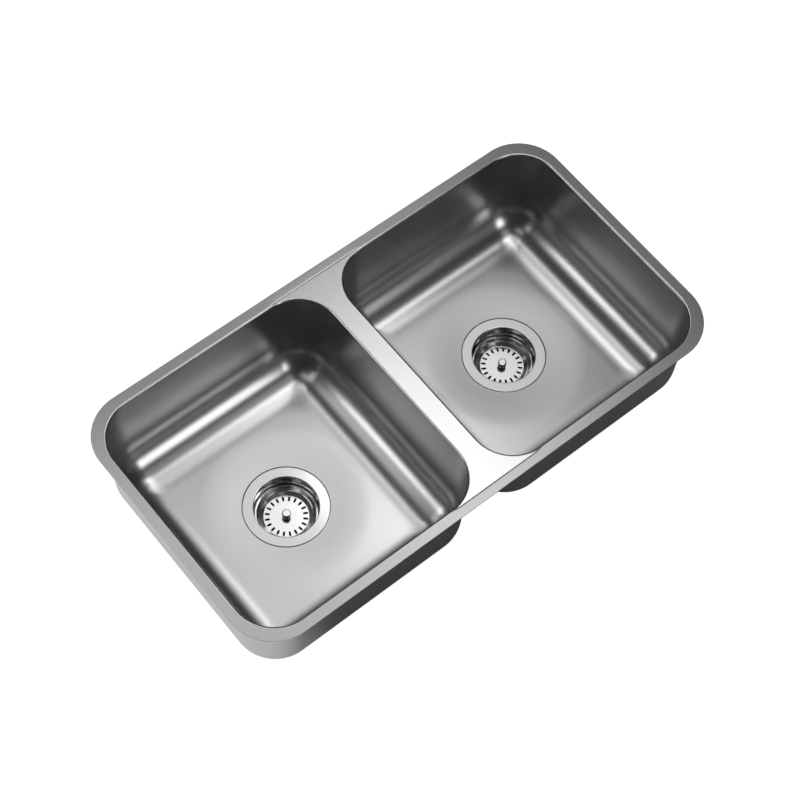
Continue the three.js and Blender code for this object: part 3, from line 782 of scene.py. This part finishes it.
def slotted_ring(inner, outer, slot_inner, slot_outer, slot_half, top, sheet, edge):
    """A flat ring with a rounded slot in each of its equal sectors.

    Each sector is a loop of points on its border matched to a loop round its slot; the surface runs
    from the border over the top to the slot's rounded edge, down the slot's wall, and back below.
    """
    arc_steps, side_steps = 6, 8
    half = np.pi / SLOT_COUNT
    sweep = np.linspace(-half, half, arc_steps + 1)
    rise = np.linspace(0, 1, side_steps + 1)
    border = np.concatenate([
        polar(outer + 0 * sweep, sweep)[:-1],
        polar(outer + (inner - outer) * rise, half + 0 * rise)[:-1],
        polar(inner + 0 * sweep, sweep[::-1])[:-1],
        polar(inner + (outer - inner) * rise, -half + 0 * rise)[:-1]])
    tip = np.linspace(-np.pi / 2, np.pi / 2, arc_steps + 1)
    far = np.stack([slot_outer - slot_half + slot_half * np.cos(tip), slot_half * np.sin(tip)], axis=1)
    near = np.stack([slot_inner + slot_half - slot_half * np.cos(tip), -slot_half * np.sin(tip)], axis=1)
    down = far[-1] + (near[0] - far[-1]) * rise[:, None]
    up = near[-1] + (far[0] - near[-1]) * rise[:, None]
    slot = np.concatenate([far[:-1], down[:-1], near[:-1], up[:-1]])
    outward = slot - np.array([(slot_inner + slot_outer) / 2, 0])
    outward = outward / np.linalg.norm(outward, axis=1)[:, None]
    turn = np.linspace(0, np.pi / 2, 4)
    clear = slot + outward * edge * 3
    rows = [(border, top), (clear, top)]
    rows += [(slot + outward * edge * (1 - np.sin(a)), top - edge * (1 - np.cos(a))) for a in turn]
    rows += [(slot + outward * edge * (1 - np.cos(a)), top - sheet + edge * (1 - np.sin(a))) for a in turn]
    rows += [(clear, top - sheet), (border, top - sheet)]
    sector = np.array([np.column_stack([plan, np.full(len(plan), height)]) for plan, height in rows])
    faces = quads(len(rows), len(border), False, True)
    points, all_faces = [], []
    for k in range(SLOT_COUNT):
        points.append((sector @ plan_turn(2 * half * (k + 0.5))).reshape(-1, 3))
        all_faces.append(faces + k * len(rows) * len(border))
    return np.concatenate(points), np.concatenate(all_faces)


def open_turn(outline, steps):
    """An open outline of (radius, height) carried round the Z axis."""
    points = carried(outline[:, 0][None], outline[:, 1][None], full_turn(steps))
    return points.reshape(-1, 3), quads(steps, len(outline), True, False)


def make_basket(side):
    """Rolled rim, stepped wall and slotted bottom, welded from three turned or sectored parts."""
    centre = middle(f"{side}_strainer_body")
    top, under = -DISH_DEPTH, -DISH_DEPTH - DISH_SHEET
    around = SLOT_COUNT * 6
    ring_outer = DISH_FLAT - 0.2
    ring = slotted_ring(DISH_HUB, ring_outer, SLOT_INNER, SLOT_OUTER, SLOT_HALF, top, DISH_SHEET, 0.12)
    closed = rounded([(DISH_HUB, top, 0), (DISH_HUB, under, 0), (DISH_BORE, under, 0.15),
                      (DISH_BORE, top, 0.15)], 3)
    disc = np.concatenate([closed[1:], closed[:1]])
    wall_top = DISH_RIM - DISH_RIM_WIDTH
    wall = rounded([
        (ring_outer, top, 0), (DISH_FLAT + 0.4, top, 1.0), (DISH_STEP - 0.6, -DISH_STEP_DEPTH - 0.6, 1.0),
        (DISH_STEP + 0.8, -DISH_STEP_DEPTH, 1.0), (wall_top, -DISH_RIM_DEPTH, 0.3),
        (DISH_RIM, -DISH_RIM_DEPTH, 0.3), (DISH_RIM, -DISH_RIM_UNDER, 0.7),
        (wall_top + 0.9, -DISH_RIM_UNDER, 0.4), (DISH_STEP + 1.4, -DISH_STEP_DEPTH - 0.9, 1.0),
        (DISH_STEP, -DISH_STEP_DEPTH - 1.4, 1.0), (DISH_FLAT + 1.2, under, 1.3), (ring_outer, under, 0)], 5)
    parts = [ring, open_turn(disc, around), open_turn(wall, around)]
    parts = [(points * MM + centre, faces) for points, faces in parts]
    return piece_from(f"{side}_basket_dish", parts, f"{side}_basket", f"{side}_basket", basket_steel,
                      merge=True)


def make_knob(side):
    """A cap with a rounded edge on a neck and collar, bored from below."""
    centre = middle(f"{side}_strainer_body")
    foot, crown = -DISH_DEPTH, KNOB_HEIGHT - DISH_DEPTH
    cap_bottom = crown - KNOB_CAP
    outline = rounded([
        (0, foot + SPINDLE_THREAD, 0), (DISH_BORE, foot + SPINDLE_THREAD, 0.3), (DISH_BORE, foot, 0.2),
        (KNOB_COLLAR, foot, 0.2), (KNOB_COLLAR, foot + KNOB_COLLAR_HEIGHT, 0.5),
        (KNOB_NECK, foot + KNOB_COLLAR_HEIGHT + 0.4, 0.4), (KNOB_NECK, cap_bottom, 0.8),
        (KNOB, cap_bottom, 0.8), (KNOB, crown, 1.5), (0, crown, 0)], 6)
    points, faces = turned(outline * MM, centre, 64)
    return piece_from(f"{side}_capped_knob", [(points, faces)], f"{side}_knob", f"{side}_plug",
                      knob_shaded_steel, merge=True)


def small_turned_pieces(side):
    """Name, node, body, finish and (radius, height, rounding) corners of each plain turned piece."""
    plug = f"{side}_plug"
    thread_top = SPINDLE_THREAD - 0.4 - DISH_DEPTH
    dish_under = -DISH_DEPTH - DISH_SHEET
    seal_end = -SHEET - SEAL
    gasket_top = seal_end - BOWL_SHEET / MM
    gasket_end = gasket_top - GASKET
    washer_end = -STOPPER_BOTTOM - 1
    return [
        ("spindle_rod", "spindle", plug, strainer_steel,
         [(0, thread_top, 0), (SPINDLE_STEM, thread_top, 0.4), (SPINDLE_STEM, dish_under, 0),
          (SPINDLE_COLLAR, dish_under, 0.4), (SPINDLE_COLLAR, -STOPPER_TOP, 0.4),
          (SPINDLE, -STOPPER_TOP, 0), (SPINDLE, 1.2 - SPINDLE_TIP, 0.3),
          (SPINDLE - 1.2, -SPINDLE_TIP, 0.3), (0, -SPINDLE_TIP, 0)]),
        ("stopper_disc", "stopper", plug, black_rubber,
         [(SPINDLE_BORE, -STOPPER_TOP, 0.2), (WASHER, -STOPPER_TOP, 1), (STOPPER, 1.2 - STOPPER_BOTTOM, 0.4),
          (STOPPER, -STOPPER_BOTTOM, 0.4), (SPINDLE_BORE, -STOPPER_BOTTOM, 0.2)]),
        ("stopper_plate", "stopper_washer", plug, strainer_steel,
         [(SPINDLE_BORE, -STOPPER_BOTTOM, 0.1), (SPINDLE_BORE, washer_end, 0.2), (WASHER, washer_end, 0.4),
          (WASHER, -STOPPER_BOTTOM, 0.1)]),
        ("flange_seal", "top_seal", "sink", black_rubber,
         [(CLAMP_BORE, -SHEET, 0.1), (CLAMP_BORE, seal_end, 0.1), (CLAMP, seal_end, 0.3),
          (CLAMP, -SHEET, 0.3)]),
        ("under_gasket", "gasket", "sink", black_rubber,
         [(CLAMP_BORE, gasket_top, 0.2), (CLAMP_BORE, gasket_end, 0.2), (CLAMP, gasket_end, 0.8),
          (CLAMP, gasket_top, 0.8)]),
        ("card_ring", "friction_ring", "sink", fibre_card,
         [(CLAMP_BORE, gasket_end, 0.1), (CLAMP_BORE, gasket_end - CARD, 0.1),
          (CLAMP, gasket_end - CARD, 0.25), (CLAMP, gasket_end, 0.25)]),
    ]


def make_turned_pieces(side):
    """The plain turned pieces of one side."""
    centre = middle(f"{side}_strainer_body")
    for name, node_name, body, finish, corners in small_turned_pieces(side):
        outline = rounded(corners, 4) * MM
        points, faces = turned(outline, centre, 96)
        piece_from(f"{side}_{name}", [(points, faces)], f"{side}_{node_name}", body, finish, merge=True)


NUT_LUG = 3.5
NUT_LUGS = 8
NUT_STEPS = 256
LUG_HALF = 0.2  # half width of a lug, and the width of its flank, as shares of the pitch
LUG_FLANK = 0.045
HEX_STEPS = 96


def make_locknut(side):
    """A ring whose outer radius swells into eight soft-edged lugs."""
    centre = middle(f"{side}_strainer_body")
    angle = full_turn(NUT_STEPS)
    low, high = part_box(f"{side}_locknut")
    top, bottom = (high.z - centre[2]) / MM, (low.z - centre[2]) / MM
    root = (high.x - low.x) / 2 / MM - NUT_LUG
    pitch = 2 * np.pi / NUT_LUGS
    phase = (angle % pitch) / pitch
    swell = smooth(np.clip((LUG_HALF - np.abs(phase - LUG_HALF)) / LUG_FLANK + 0.5, 0, 1))
    outline = rounded([(CLAMP_BORE, top, 0.4), (CLAMP_BORE, bottom, 0.4), (root, bottom, 0.9),
                       (root, top, 0.9)], 4)
    share = np.clip((outline[:, 0] - CLAMP_BORE) / (root - CLAMP_BORE), 0, 1)[None]
    radius = outline[:, 0][None] + NUT_LUG * swell * share ** 8
    points = carried(radius, outline[:, 1][None], angle) * MM + centre
    faces = quads(NUT_STEPS, len(outline), True, True)
    return piece_from(f"{side}_lugged_nut", [(points, faces)], f"{side}_locknut", "sink", grey_nylon)


def make_spindle_nut(side):
    """A hexagon nut: the radius is the flat's distance over the cosine of the angle to it, held in
    by a small chamfer circle at top and bottom."""
    centre = middle(f"{side}_strainer_body")
    angle = full_turn(HEX_STEPS)
    low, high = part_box(f"{side}_spindle_nut")
    top, bottom, flat = (high.z - centre[2]) / MM, (low.z - centre[2]) / MM, (high.y - low.y) / 2 / MM
    hexagon = flat / np.cos(angle % (np.pi / 3) - np.pi / 6)
    heights = np.array([top, bottom, bottom, bottom + 0.5, top - 0.5, top])
    hold = np.array([SPINDLE_BORE, SPINDLE_BORE, flat + 0.2, 2 * flat, 2 * flat, flat + 0.2])[None]
    radius = np.minimum(hold, np.where(hold > SPINDLE_BORE, hexagon, SPINDLE_BORE))
    points = carried(radius, heights, angle)
    faces = quads(HEX_STEPS, len(heights), True, True)
    return piece_from(f"{side}_hex_nut", [(points * MM + centre, faces)], f"{side}_spindle_nut",
                      f"{side}_plug", strainer_steel)


make_rim()
make_divider()
for side in SIDES:
    make_bowl(side)
    make_strainer(side)
    make_basket(side)
    make_knob(side)
    make_turned_pieces(side)
    make_locknut(side)
    make_spindle_nut(side)
    for place in ("front", "rear"):
        make_pad(side, place)


# ---- floor, light and camera ----

SURROUND = 0.03
FLOOR_HALF = 12.0
FLOOR_GLOW = 0.95
FLOOR_MIRRORED = 1.2  # share of the glow that the steel shows, on the left of the object
MIRROR_START = -0.22  # X where that begins
MIRROR_RISE = 6.4


def make_floor():
    """A pale studio floor just under the outlets. It glows for the camera, and on the left also for
    the steel that mirrors it."""
    low = float(cad_box[0][2]) - 1 * MM
    corners = [(x * FLOOR_HALF, y * FLOOR_HALF, low) for x, y in ((-1, -1), (1, -1), (1, 1), (-1, 1))]
    mesh = bpy.data.meshes.new("studio_floor")
    mesh.from_pydata(corners, [], [(0, 1, 2, 3)])
    floor = bpy.data.objects.new("studio_floor", mesh)
    bpy.context.scene.collection.objects.link(floor)
    material, tree, shader = principled("studio_floor_white", (0.55, 0.55, 0.55), 0.9, 0.0)
    shader.inputs["Specular IOR Level"].default_value = 0.0
    path = add_node(tree, "ShaderNodeLightPath")
    mirrored = maths(tree, "MAXIMUM", path.outputs["Is Glossy Ray"], path.outputs["Is Transmission Ray"])
    place = add_node(tree, "ShaderNodeTexCoord")
    parts = add_node(tree, "ShaderNodeSeparateXYZ")
    tree.links.new(place.outputs["Object"], parts.inputs[0])
    leftward = maths(tree, "SUBTRACT", parts.outputs["X"], MIRROR_START)
    leftward = maths(tree, "MULTIPLY", leftward, -MIRROR_RISE, clamp=True)
    mirrored = maths(tree, "MULTIPLY", maths(tree, "MULTIPLY", mirrored, leftward), FLOOR_MIRRORED)
    seen = maths(tree, "MAXIMUM", path.outputs["Is Camera Ray"], mirrored)
    glow = add_node(tree, "ShaderNodeEmission")
    tree.links.new(maths(tree, "MULTIPLY", seen, FLOOR_GLOW), glow.inputs["Strength"])
    both = add_node(tree, "ShaderNodeAddShader")
    tree.links.new(shader.outputs[0], both.inputs[0])
    tree.links.new(glow.outputs[0], both.inputs[1])
    tree.links.new(both.outputs[0], tree.nodes["Material Output"].inputs["Surface"])
    floor.data.materials.append(material)


def add_softbox(name, place, aim, size_x, size_y, strength):
    """A rectangular lamp with an even face that sends strength of radiance towards its aim."""
    lamp = bpy.data.lights.new(name, "AREA")
    lamp.shape = "RECTANGLE"
    lamp.size, lamp.size_y = size_x, size_y
    lamp.energy = strength * math.pi * size_x * size_y
    holder = bpy.data.objects.new(name, lamp)
    bpy.context.scene.collection.objects.link(holder)
    holder.location = place
    direction = np.asarray(aim, float) - np.asarray(place, float)
    holder.rotation_euler = Vector(direction).to_track_quat("-Z", "Y").to_euler()


FACING_DOWN = [  # name, place, size along X and Y, strength
    ("overhead_left", (0.35, 0.55, 2.0), 0.95, 1.2, 0.86),
    ("overhead_right", (1.07, 0.9, 2.0), 0.49, 0.9, 0.8),
    ("overhead_middle", (0.67, 0.3, 1.98), 0.36, 1.1, 1.75),
    ("overhead_front", (0.68, -0.2, 1.96), 1.2, 0.35, 1.8),
    ("overhead_edge", (-0.1, 0.72, 1.97), 0.2, 0.8, 1.6),
    ("left_card", (-0.53, 0.33, 0.5), 0.38, 0.4, 0.8),
    ("left_panel", (-0.95, -0.05, 2.0), 0.5, 0.9, 0.6),
    ("front_panel", (0.4, -0.85, 1.94), 0.7, 0.7, 0.4),
]
FACING_BOWLS = [
    ("front_strip", (0.42, -2.1, 1.2), 0.85, 1.1, 2.8),
    ("left_strip", (-2.1, 0.98, 0.95), 0.75, 1.0, 2.8),
]
BOWL_MIDDLE = (0, 0, -0.1)


def make_lights():
    """An overhead softbox in two parts with a bright strip down its middle, a bar at its front and a
    narrow one at its left edge, a card close by on the left, dim panels on the left and in front, and
    low strips for the bright lines along the coves."""
    for name, place, size_x, size_y, strength in FACING_DOWN:
        add_softbox(name, place, (place[0], place[1], 0), size_x, size_y, strength)
    for name, place, size_x, size_y, strength in FACING_BOWLS:
        add_softbox(name, place, BOWL_MIDDLE, size_x, size_y, strength)


def make_surround():
    """A dim even surround, which the camera sees white."""
    world = bpy.data.worlds.new("studio")
    bpy.context.scene.world = world
    world.use_nodes = True
    tree = world.node_tree
    path = add_node(tree, "ShaderNodeLightPath")
    brighter = maths(tree, "MULTIPLY", path.outputs["Is Camera Ray"], 1 - SURROUND)
    tree.links.new(maths(tree, "ADD", brighter, SURROUND), tree.nodes["Background"].inputs["Color"])


CAMERA_PLACE = (-0.823, -0.8669, 2.1695)
CAMERA_AIM = (-0.026, -0.0239, 0.0)
CAMERA_ROLL = 5.12  # degrees, anticlockwise as the camera sees
CAMERA_LENS = 89.98


def make_camera():
    """A long lens, high up on the front left."""
    lens = bpy.data.cameras.new("camera")
    lens.lens = CAMERA_LENS
    lens.sensor_width = 36
    lens.clip_end = 100
    camera = bpy.data.objects.new("camera", lens)
    bpy.context.scene.collection.objects.link(camera)
    look = (Vector(CAMERA_AIM) - Vector(CAMERA_PLACE)).to_track_quat("-Z", "Y").to_matrix()
    roll = Matrix.Rotation(math.radians(CAMERA_ROLL), 3, "Z")
    camera.matrix_world = Matrix.Translation(CAMERA_PLACE) @ (look @ roll).to_4x4()
    bpy.context.scene.camera = camera


make_floor()
make_lights()
make_surround()
make_camera()
bpy.context.scene.view_settings.view_transform = "Standard"
